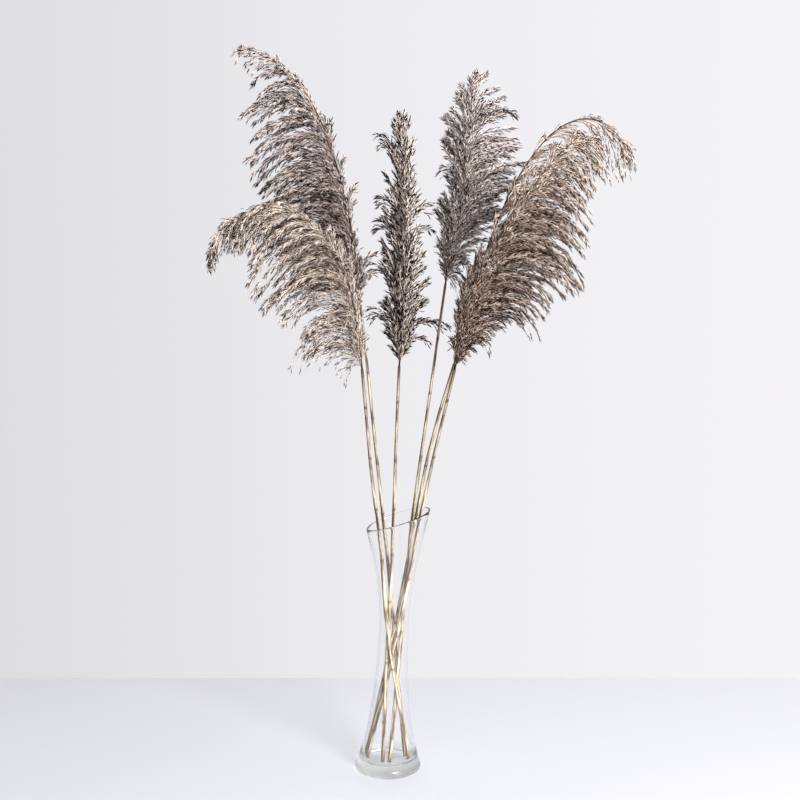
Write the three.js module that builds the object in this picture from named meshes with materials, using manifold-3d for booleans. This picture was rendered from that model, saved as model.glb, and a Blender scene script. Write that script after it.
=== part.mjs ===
// Six dried grass plumes on noded stems, standing in a clear glass vase with a narrow waist.
// Millimetres, +Z up. The origin is the centre of the vase's foot, +X is to the right of the
// photograph and +Y leads away from its camera.

import * as THREE from 'three';
import Module from 'manifold-3d';

const wasm = await Module();
wasm.setup();
const { Manifold, Mesh: SolidMesh } = wasm;

// ---- vase ----
const VASE_LEAN = 0.043;          // sideways shift per millimetre of height: it leans to the right
const RIM_HEIGHT = 390;           // mean height of the rim
const RIM_RISE = 0.323;           // slope of the cut rim, high on the right
const RIM_SLANT_FROM = 250;       // the slant fades in above this height
const VASE_SEGMENTS = 28;
const GLASS = 3;                  // wall thickness
const WELL_FLOOR = 16;            // top of the thick glass base
// radius and height of the outside, from the foot's edge to the rim
const VASE_OUTSIDE = [
  [44, 0], [49, 3], [50, 8], [47.6, 14], [43.5, 30], [38.6, 45], [32, 77], [25.1, 140],
  [22.6, 203], [22.3, 240], [27.9, 296], [33.4, 327], [39.8, 357], [47.3, 388.5],
];

// ---- stems ----
const STEM_FOOT_RADIUS = 3.2;
const STEM_TOP_RADIUS = 1.95;
const STEM_SIDES = 6;
const NODE_SWELL = 1.22;          // how much a node stands out
const NODE_HALF_LENGTH = 4;
const SEAM = 0.3;                 // gap between a stem's end and its plume's axis

// ---- plumes ----
const LOCKS = 18;
const LOCK_SIDES = 4;
const LOCK_RADIUS = 13;           // half width of a long lock at its widest
const LOCK_FLATNESS = 0.42;       // its thickness for that width
const HAIR = 10;                  // how far a lock's hair stands past the tip of its branch
const AXIS_RADIUS = 1.95;
const AXIS_TIP_RADIUS = 0.8;
const GOLDEN_ANGLE = 2.399963;

const STRAW = { color: 0xcdb185, roughness: 0.6, metalness: 0 };
const TAUPE = { color: 0x8b7d72, roughness: 0.95, metalness: 0 };
const GREY = { color: 0x8f8785, roughness: 0.95, metalness: 0 };
const TAN = { color: 0x94806e, roughness: 0.95, metalness: 0 };

// Each stem: the points that it passes, foot first, and the heights of its nodes.
// Each plume: rows from its base to its tip. A row is a place on the axis (x, z), the tips of the
// branches that leave it to the left (x, z) and to the right (x, z), and the half depth there.
// depth is the y of the axis at the base and at the tip, arch how high the branches rise first,
// and climb how many starts below its own row a branch leaves the axis.
// A wisp is a single long branch: where it leaves the axis (0 to 1) and its tip (x, y, z).
const REEDS = [
  {
    stem: 'stem_tall_left', plume: 'plume_tall_left', look: TAUPE, depth: [33, 44], arch: 0.18,
    climb: 0,
    path: [[27, 0, 17], [11, 13, 205], [-5, 14, 375], [-22, 19, 540], [-34, 28, 657], [-41, 33, 716]],
    nodes: [62, 150, 236, 318, 395, 472, 540, 608],
    rows: [
      [-41, 716, -105, 715, -22, 762, 28],
      [-46, 765, -150, 770, -24, 795, 36],
      [-55, 830, -190, 825, -38, 850, 42],
      [-68, 890, -198, 865, -52, 900, 42],
      [-88, 955, -212, 905, -82, 980, 38],
      [-108, 1000, -214, 978, -110, 1020, 32],
      [-137, 1042, -208, 1020, -140, 1056, 26],
      [-175, 1072, -208, 1055, -180, 1085, 18],
      [-226, 1084, -236, 1076, -236, 1088, 8],
    ],
    wisps: [],
  },
  {
    stem: 'stem_low_left', plume: 'plume_low_left', look: TAUPE, depth: [-33, -58], arch: 0.2,
    climb: 0,
    path: [[33, -15, 17], [3, -13, 205], [-12, -7, 375], [-20, -24, 434], [-31, -31, 560], [-36, -33, 618]],
    nodes: [75, 162, 250, 328, 408, 487, 562],
    rows: [
      [-36, 618, -65, 606, -33, 649, 14],
      [-39, 650, -120, 636, -31, 691, 24],
      [-47, 708, -131, 671, -38, 745, 36],
      [-58, 750, -185, 703, -52, 785, 42],
      [-81, 803, -199, 728, -76, 825, 42],
      [-112, 834, -205, 769, -110, 849, 36],
      [-155, 851, -213, 790, -160, 862, 26],
      [-199, 842, -230, 787, -211, 851, 18],
      [-237, 815, -247, 771, -245, 822, 10],
      [-253, 764, -257, 750, -257, 754, 5],
    ],
    wisps: [[0.07, -72, -42, 597], [0.1, -142, -46, 626]],
  },
  {
    stem: 'stem_centre', plume: 'plume_centre', look: GREY, depth: [60, 92], arch: 0.05,
    climb: 2,
    path: [[-7, -24, 17], [1, -4, 205], [9, 11, 375], [14, 36, 520], [18, 60, 614]],
    nodes: [80, 170, 262, 334, 401, 474, 560],
    rows: [
      [18, 614, 6, 642, 31, 642, 9],
      [21, 650, -4, 684, 50, 680, 18],
      [22, 700, -7, 737, 63, 732, 26],
      [24, 750, -10, 791, 57, 784, 28],
      [24, 800, -4, 839, 50, 832, 27],
      [24, 850, -5, 886, 45, 883, 25],
      [24, 906, 0, 940, 39, 933, 20],
      [24, 955, 4, 983, 36, 983, 13],
      [21, 994, 16, 1001, 25, 1001, 5],
    ],
    wisps: [
      [0.1, -37, 75, 699], [0.26, -36, 78, 771], [0.42, -26, 80, 839], [0.74, -19, 90, 961],
      [0.08, 97, 104, 676], [0.4, 66, 80, 832], [0.5, 71, 85, 862],
    ],
  },
  {
    stem: 'stem_middle_right', plume: 'plume_middle_right', look: GREY, depth: [95, 132], arch: 0.05,
    climb: 2,
    path: [[3, -25, 17], [21, 4, 205], [36, 1, 375], [60, 46, 540], [89, 95, 737]],
    nodes: [56, 132, 215, 300, 384, 479, 573, 655],
    rows: [
      [89, 737, 84, 762, 105, 750, 12],
      [96, 780, 76, 812, 136, 789, 24],
      [107, 824, 81, 858, 173, 850, 32],
      [115, 880, 90, 915, 192, 895, 36],
      [119, 930, 81, 962, 213, 936, 36],
      [125, 976, 90, 1003, 198, 982, 32],
      [131, 1023, 108, 1039, 179, 1030, 24],
      [136, 1048, 124, 1060, 163, 1057, 14],
      [137, 1064, 133, 1068, 144, 1070, 5],
    ],
    wisps: [[0.44, 70, 108, 915], [0.68, 207, 125, 1000], [0.02, 114, 90, 715], [0.06, 133, 100, 742]],
  },
  {
    stem: 'stem_front_right', plume: 'plume_front_right', look: TAN, depth: [-27, -60], arch: 0.2,
    climb: 0,
    path: [[-32, -9, 17], [14, -1, 205], [45, -13, 375], [70, -14, 490], [99, -27, 617]],
    nodes: [64, 125, 210, 300, 392, 486, 571],
    rows: [
      [99, 617, 94, 646, 112, 637, 10],
      [105, 650, 97, 696, 138, 666, 20],
      [112, 689, 104, 734, 174, 694, 32],
      [127, 733, 118, 774, 228, 697, 38],
      [151, 786, 139, 821, 277, 743, 40],
      [180, 842, 167, 866, 289, 788, 38],
      [213, 888, 200, 909, 292, 828, 34],
      [245, 927, 234, 943, 296, 858, 28],
      [273, 947, 268, 961, 302, 876, 22],
      [295, 948, 298, 959, 307, 892, 14],
      [307, 929, 312, 931, 310, 906, 6],
    ],
    wisps: [[0.4, 296, -55, 825], [0.3, 288, -62, 743], [0.14, 236, -58, 675], [0.03, 156, -44, 650]],
  },
  {
    stem: 'stem_back_right', plume: 'plume_back_right', look: TAN, depth: [42, 52], arch: 0.16,
    climb: 0,
    path: [[-34, 8, 17], [8, 6, 205], [41, 19, 375], [66, 29, 500], [101, 42, 619]],
    nodes: [48, 140, 228, 317, 392, 466, 552],
    rows: [
      [101, 619, 95, 650, 150, 655, 12],
      [112, 668, 105, 716, 200, 715, 20],
      [127, 725, 124, 765, 240, 748, 24],
      [145, 780, 143, 815, 262, 785, 26],
      [168, 840, 162, 858, 282, 825, 26],
      [190, 888, 186, 900, 292, 852, 26],
      [217, 930, 214, 940, 303, 878, 24],
      [245, 962, 243, 972, 315, 888, 20],
      [275, 980, 276, 993, 328, 895, 18],
      [308, 983, 318, 994, 345, 892, 16],
      [345, 958, 356, 965, 355, 900, 10],
      [364, 915, 370, 905, 368, 900, 5],
    ],
    wisps: [],
  },
];

// A repeatable number from 0 to 1 for piece i and use k.
function chance(i, k) {
  const value = Math.sin(i * 12.9898 + k * 78.233) * 43758.5453;
  return value - Math.floor(value);
}

// A closed round bar along a list of points, bent from a cylinder, with a radius at each point.
// A last radius of 0 ends it in a point, and flatness thins it from front to back.
function bentBar(points, radii, sides, flatness = 1) {
  const last = points.length - 1;
  const bar = new THREE.CylinderGeometry(radii[last] > 0 ? 1 : 0, 1, 1, sides, last);
  const place = bar.getAttribute('position');
  const across = new THREE.Vector3(0, 1, 0);
  const rings = points.map((point, i) => {
    const along = points[Math.min(last, i + 1)].clone().sub(points[Math.max(0, i - 1)]).normalize();
    const a = along.clone().cross(across).normalize();
    return { point, a, b: a.clone().cross(along), radius: radii[i] };
  });
  for (let i = 0; i < place.count; i += 1) {
    const ring = rings[Math.round((place.getY(i) + 0.5) * last)];
    const flat = Math.hypot(place.getX(i), place.getZ(i));
    const scale = flat > 1e-6 ? ring.radius / flat : 0;
    const spot = ring.point.clone()
      .addScaledVector(ring.a, place.getX(i) * scale)
      .addScaledVector(ring.b, place.getZ(i) * scale * flatness);
    place.setXYZ(i, spot.x, spot.y, spot.z);
  }
  return bar;
}

// Geometry with its corners joined, as a manifold solid.
function solidOf(geometry) {
  const corners = new Map();
  const position = geometry.getAttribute('position');
  const index = geometry.index.array;
  const points = [];
  const rename = [];
  for (let i = 0; i < position.count; i += 1) {
    const key = [position.getX(i), position.getY(i), position.getZ(i)].map((v) => v.toFixed(4)).join(' ');
    if (!corners.has(key)) {
      corners.set(key, points.length / 3);
      points.push(position.getX(i), position.getY(i), position.getZ(i));
    }
    rename.push(corners.get(key));
  }
  const faces = [];
  for (let i = 0; i < index.length; i += 3) {
    const [a, b, c] = [rename[index[i]], rename[index[i + 1]], rename[index[i + 2]]];
    if (a !== b && b !== c && c !== a) faces.push(a, b, c);
  }
  return new Manifold(new SolidMesh({
    numProp: 3, vertProperties: new Float32Array(points), triVerts: new Uint32Array(faces),
  }));
}

function geometryOf(solid) {
  const mesh = solid.getMesh();
  const geometry = new THREE.BufferGeometry();
  geometry.setAttribute('position', new THREE.BufferAttribute(mesh.vertProperties, 3));
  geometry.setIndex(new THREE.BufferAttribute(mesh.triVerts, 1));
  geometry.computeVertexNormals();
  return geometry;
}

// The glass: one closed outline turned about the axis, then leaned, with its rim cut on a slant.
function vaseGeometry() {
  const inside = VASE_OUTSIDE.filter((point) => point[1] > 25 && point[1] < 380)
    .map(([radius, height]) => [radius - GLASS, height]).reverse();
  const outline = [
    [0, 0], ...VASE_OUTSIDE, [47, RIM_HEIGHT], [45.6, RIM_HEIGHT], [44.6, 388],
    ...inside, [40, 19], [37, WELL_FLOOR], [0, WELL_FLOOR],
  ].map(([radius, height]) => new THREE.Vector2(radius, height));
  const glass = new THREE.LatheGeometry(outline, VASE_SEGMENTS).rotateX(Math.PI / 2);
  const place = glass.getAttribute('position');
  for (let i = 0; i < place.count; i += 1) {
    const [x, y, z] = [place.getX(i), place.getY(i), place.getZ(i)];
    const lift = RIM_RISE * x * THREE.MathUtils.smoothstep(z, RIM_SLANT_FROM, RIM_HEIGHT);
    place.setXYZ(i, x + VASE_LEAN * (z + lift), y, z + lift);
  }
  return glass;
}

// A stem: its rings stand at the ends and around each node.
function stemGeometry(reed) {
  const curve = new THREE.CatmullRomCurve3(reed.path.map((p) => new THREE.Vector3(...p)), false, 'centripetal');
  const samples = curve.getPoints(600);
  const foot = samples[0].z;
  const top = samples[600].z;
  const atHeight = (height) => samples.reduce((best, p) => (
    Math.abs(p.z - height) < Math.abs(best.z - height) ? p : best));
  const heights = [foot];
  const swell = [0.92];
  for (const node of reed.nodes) {
    heights.push(node - NODE_HALF_LENGTH, node, node + NODE_HALF_LENGTH);
    swell.push(1, NODE_SWELL, 1);
  }
  heights.push(top);
  swell.push(1);
  const points = heights.map((height) => atHeight(height).clone());
  const radii = heights.map((height, i) => swell[i] * THREE.MathUtils.mapLinear(
    height, foot, 737, STEM_FOOT_RADIUS, STEM_TOP_RADIUS));
  return bentBar(points, radii, STEM_SIDES);
}

// The axis of a plume as a curve, and what its rows say at a place from 0 to 1 along it.
function plumeLayout(reed) {
  const { rows, depth } = reed;
  const spots = rows.map((row) => new THREE.Vector3(row[0], 0, row[1]));
  const run = [0];
  for (let i = 1; i < spots.length; i += 1) run.push(run[i - 1] + spots[i].distanceTo(spots[i - 1]));
  const share = run.map((length) => length / run[run.length - 1]);
  spots.forEach((spot, i) => { spot.y = THREE.MathUtils.lerp(depth[0], depth[1], Math.sqrt(share[i])); });
  const curve = new THREE.CatmullRomCurve3(spots, false, 'centripetal');
  const at = (t) => {
    let i = 0;
    while (i < share.length - 2 && share[i + 1] < t) i += 1;
    const part = (t - share[i]) / (share[i + 1] - share[i]);
    const u = (i + part) / (share.length - 1);
    const row = rows[i].map((value, k) => THREE.MathUtils.lerp(value, rows[i + 1][k], part));
    return { row, root: curve.getPoint(u), along: curve.getTangent(u) };
  };
  return { at };
}

// The line of a branch: it leaves along the axis, arches over and comes down to its tip.
function branchPoints(root, along, tip, arch, places) {
  const reach = tip.clone().sub(root);
  const length = reach.length();
  const leave = root.clone().addScaledVector(along, 0.4 * length).addScaledVector(reach, 0.06);
  const bend = root.clone().addScaledVector(reach, 0.7);
  bend.z += arch * length;
  const curve = new THREE.CubicBezierCurve3(root, leave, bend, tip);
  return places.map((s) => curve.getPoint(s));
}

function lockSolid(root, along, branchTip, arch) {
  const reach = branchTip.clone().sub(root);
  const length = reach.length() + HAIR * Math.min(1, reach.length() / 90);
  const tip = reach.setLength(length).add(root);
  const radius = LOCK_RADIUS * Math.min(1, 0.35 + length / 150);
  const points = branchPoints(root, along, tip, arch, [0, 0.3, 0.66, 1]);
  return solidOf(bentBar(
    points, [0.16 * radius, 0.8 * radius, 0.95 * radius, 0], LOCK_SIDES, LOCK_FLATNESS));
}

// The locks of a plume are fused to its axis, and each leaves a corner of the axis's own line.
function plumeGeometry(reed) {
  const { at } = plumeLayout(reed);
  const starts = Array.from({ length: LOCKS }, (_, i) => (i + 0.5) / LOCKS);
  const axis = [0, ...starts, 1].map((t) => at(t).root.clone());
  const radii = axis.map((_, i) => THREE.MathUtils.lerp(AXIS_RADIUS, AXIS_TIP_RADIUS, i / (LOCKS + 1)));
  axis[0].addScaledVector(at(0).along, SEAM);
  const solids = [solidOf(bentBar(axis, radii, LOCK_SIDES))];
  starts.forEach((t, i) => {
    const turn = i * GOLDEN_ANGLE;
    const { row, root: centre } = at(t);
    const { root, along } = at(starts[Math.max(0, i - reed.climb)]);
    const side = 0.5 + 0.5 * Math.sign(Math.cos(turn)) * Math.abs(Math.cos(turn)) ** 0.6;
    const reach = 0.9 + 0.1 * chance(i, 1);
    const tip = new THREE.Vector3(
      THREE.MathUtils.lerp(row[2], row[4], side),
      centre.y + (row[6] + HAIR) * Math.sin(turn),
      THREE.MathUtils.lerp(row[3], row[5], side),
    ).sub(root).multiplyScalar(reach).add(root);
    solids.push(lockSolid(root, along, tip, reed.arch));
  });
  for (const [t, x, y, z] of reed.wisps) {
    const { root, along } = at(starts[Math.round(t * LOCKS - 0.5)]);
    solids.push(lockSolid(root, along, new THREE.Vector3(x, y, z), reed.arch));
  }
  // a hollow closed in between locks has a skin of its own, so only the outer skin is kept
  const skins = Manifold.union(solids).decompose().sort((a, b) => b.volume() - a.volume());
  return geometryOf(skins[0]);
}

const group = new THREE.Group();

function add(name, geometry, look) {
  const mesh = new THREE.Mesh(geometry, new THREE.MeshStandardMaterial(look));
  mesh.name = name;
  group.add(mesh);
}

add('glass_vase', vaseGeometry(), {
  color: 0xe9f1f1, roughness: 0.03, metalness: 0, transparent: true, opacity: 0.3,
});
for (const reed of REEDS) {
  add(reed.stem, stemGeometry(reed), STRAW);
  add(reed.plume, plumeGeometry(reed), reed.look);
}

export default group;
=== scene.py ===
import math
import bmesh
import bpy
import numpy as np
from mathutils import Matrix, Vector


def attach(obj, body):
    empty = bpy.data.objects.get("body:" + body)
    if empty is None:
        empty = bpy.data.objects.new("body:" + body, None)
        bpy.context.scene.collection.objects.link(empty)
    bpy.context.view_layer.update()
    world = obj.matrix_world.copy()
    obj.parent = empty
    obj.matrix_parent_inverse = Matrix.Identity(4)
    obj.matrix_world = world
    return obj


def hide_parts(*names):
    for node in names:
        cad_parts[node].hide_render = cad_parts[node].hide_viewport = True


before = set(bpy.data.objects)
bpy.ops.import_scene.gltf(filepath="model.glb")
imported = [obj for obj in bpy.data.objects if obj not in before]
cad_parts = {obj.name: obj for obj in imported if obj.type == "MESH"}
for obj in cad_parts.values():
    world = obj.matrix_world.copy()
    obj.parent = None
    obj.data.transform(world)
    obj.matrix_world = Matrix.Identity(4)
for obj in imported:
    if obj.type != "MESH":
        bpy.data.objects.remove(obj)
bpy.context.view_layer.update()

# Dried grass plumes on tall stems in a clear glass vase with a narrow waist.
# The vase, the stems and the plumes are given in millimetres, as in the part's source, and the
# camera, the light and the room in metres.
MM = 0.001
RANDOM_START = 11                 # for the first plume's random numbers, and one more for each next

# Camera: the photograph's eye, about two metres off and looking a little down.
EYE = (0.0192, -2.015, 0.816)
LOOK_DOWN = math.radians(6.98)
LENS = 61.56

# Vase. Its outlines are points of radius and height.
VASE_LEAN = 0.043                 # how far it leans to the right per height
RIM_HEIGHT = 390
RIM_RISE = 0.323                  # how steeply the cut rim rises to the right
RIM_SLANT_FROM = 250              # the slant fades out down to this height
GLASS = 3                         # thickness of the wall
WELL_FLOOR = 16
VASE_STEPS = 96                   # round the vase
OUTLINE_STEPS = 4                 # from one point of an outline to the next
FOOT_DISC = [(0, 0), (30, 0), (43, 0)]
VASE_OUTSIDE = [
    (44, 0), (49, 3), (50, 8), (47.6, 14), (43.5, 30), (38.6, 45), (32, 77), (25.1, 140),
    (22.6, 203), (22.3, 240), (27.9, 296), (33.4, 327), (39.8, 357), (47.3, 388.5),
]
RIM_BEAD = [(47.2, 389.4), (46.6, 390), (45.8, 390.1), (45.1, 389.5), (44.7, 388.3)]
WELL_TOP = (44.4, 386)
WELL_WALL = (25, 380)             # between these heights the well follows the outside
WELL_FOOT = (39.6, 20)
WELL_BOTTOM = [(38.6, 18), (36.6, 16.6), (34, WELL_FLOOR), (17, WELL_FLOOR), (0, WELL_FLOOR)]

# Stems. Darkness goes from 0, clean straw, to 1 and a little over, dark brown.
STEM_FOOT_RADIUS = 3.2
STEM_TOP_RADIUS = 1.95            # at the top of the longest stem
LONGEST_STEM = 737
STEM_SIDES = 12
STEM_SAMPLES = 900
CUT_FOOT = (0.9, 0.3)             # how thick and how dark a stem's foot is
# The rings of a node: how far above it they are, how thick and how dark.
NODE_RINGS = [
    (-9, 1.0, 0), (-3, 1.0, 0.25), (-1.0, 1.05, 0.8), (0, 1.07, 1),
    (1.0, 1.04, 0.7), (3.2, 1.0, 0.25), (12, 1.0, 0),
]
LAST_RING = 25                    # below the stem's top
DARK_TOP = ((-70, -25, 0), (0, 0.7, 1.2))     # heights from the stem's top, and how dark it is there
# Painted shade: the left side of a stem, turned away from the light, is painted darker, more so higher up.
LEFT_SIDE_PAINTED_SHADE = ((150, 450), (0.3, 0.9))          # heights, and how dark the left side is there
DARKEST = 1.2

# Branches of a plume. Random values are drawn from the ranges given.
BRANCHES = 132
BUNCHES = 20                      # groups that the branches of a plume stand in
CROWDED_LOW = 0.72                # below 1, branches stand closer near the base
PLACE_JITTER = (0.2, 0.8)         # where a branch stands within its own share of the axis
BUNCH_JITTER = 0.3                # how far the bounds of a bunch are moved, in bunches
GOLDEN_ANGLE = 2.399963
TURN_JITTER = 0.5                 # radians round the axis
SIDE_CROWDING = 0.7               # below 1, more branches point sideways than forwards
LOWEST_ROOT = 0.35                # a climbing branch starts no lower than this share of its place
BUNCH_REACH = (0.92, 1.08)        # how far a bunch and a branch reach towards the outline
BRANCH_REACH = (0.86, 1.0)
SHORT_ONES = slice(5, None, 8)    # every eighth branch is a short one
SHORT_REACH = (0.5, 0.75)
LEAST_REACH = 0.3                 # for a branch shortened by its fluff
FLUFF = 8                         # how far twigs and seeds stand past the tip of a branch
BRANCH_WOBBLE = 0.035             # of a branch's length
LEAVE_ALONG, LEAVE_OUT = 0.42, 0.06   # a branch first follows the axis, and leans out a little
BEND_PLACE = 0.75                 # how far on its way a branch bends down
BRANCH_RADIUS, BRANCH_GROWS = 0.34, 1 / 330   # at the root of a short branch, and more per length
BRANCH_TIP = 0.35                 # how thick a branch is at its tip, against its root
BRANCH_TONES = (0.02, 0.9)        # the least and the most
TONE_JITTER = (-0.06, 0.12)
AXIS_RADIUS = 1.6
AXIS_TIP_RADIUS = 0.6
AXIS_RINGS = 40
AXIS_TONE, AXIS_SIDE_TONE = 0.01, 0.02    # its tone, and how much that changes to one side
# Directions that hardly any curve takes, for finding others across it.
ACROSS_HINT = (0.11, 0.97, 0.21)
TURN_HINT = (0.13, 0.31, 0.94)

# A wisp is a thin loose branch. The end of the axis is set with twigs in the same way.
STRANDS = 3                       # branches drawn close together for one wisp
WISP_ARCH = 0.2                   # how much higher a wisp rises than the other branches
WISP_BARE = 0.55                  # the share of the twigs that a wisp lacks
WISP_DARKER = 0.5                 # per share that it lacks
WISP_ROOTS, WISP_TIPS = 0.03, 3   # how far apart the strands start, as a share, and end
WISP_REACH = (0.8, 1.0)
AXIS_END = 0.88                   # from here on the axis has strands of its own
AXIS_END_REACH = 0.1              # and how much further they reach than those of a wisp

# Twigs, longest near the root of their branch.
TWIG_SPACING = 3.3                # on a full branch
TWIG_COUNT_GROWS = (0.25, 60)     # a short branch has fewer twigs: the least share, and a length
TWIG_SIZE_GROWS = (0.35, 110)     # and smaller ones
FULL_PLACES = (0, 0.35, 1)        # places up a plume that its values for full are given for
OPEN_JITTER = 0.12
OPEN_AT_ROOT, OPEN_LESS = 1.15, 0.6   # how wide a twig stands, and how much less at the tip
TWIG_SHORT, TWIG_LONGER, TWIG_TAPER = 8, 16, 0.8   # at the tip, more at the root, and how it falls
TWIG_SIZES = (0.75, 1.2)
# Painted shade: twigs near the axis, deep in the plume, are painted darker than those out at a branch's
# tip.
TWIG_INNER_PAINTED_SHADE = 0.25                 # how much paler the twigs are at a branch's tip than at its root
TWIG_TONE_JITTER = 0.2
TWIG_TONES = (0.02, 0.96)
TWIG_CORNERS = (0.35, 0.72)       # the inner corners of a twig's curve
TWIG_DROOP = 0.16                 # how far its tip hangs, as a share of its length
TWIG_DROOP_EARLY = 0.3            # the share of that at the second inner corner
TWIG_RADIUS, TWIG_GROWS, TWIG_TIP = 0.16, 0.006, 0.5   # as for a branch
SEEDS_KEPT, TUFTS_KEPT = 0.8, 0.95    # the share of their places that carry one
FRINGE_TONES = (0.01, 0.97)       # of seeds and tufts

# Places of the palette, from 0 to 1 up it.
WOOD_BAND = (0.0, 0.24)
SEED_BAND = (0.26, 0.5)
TUFT_BAND = (0.52, 1.0)
BAND_EDGE = 0.03                  # the share at a band's lower and upper edge that isn't used
ROUND_TONE = 0.012                # how much the tone changes round a bar
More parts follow.
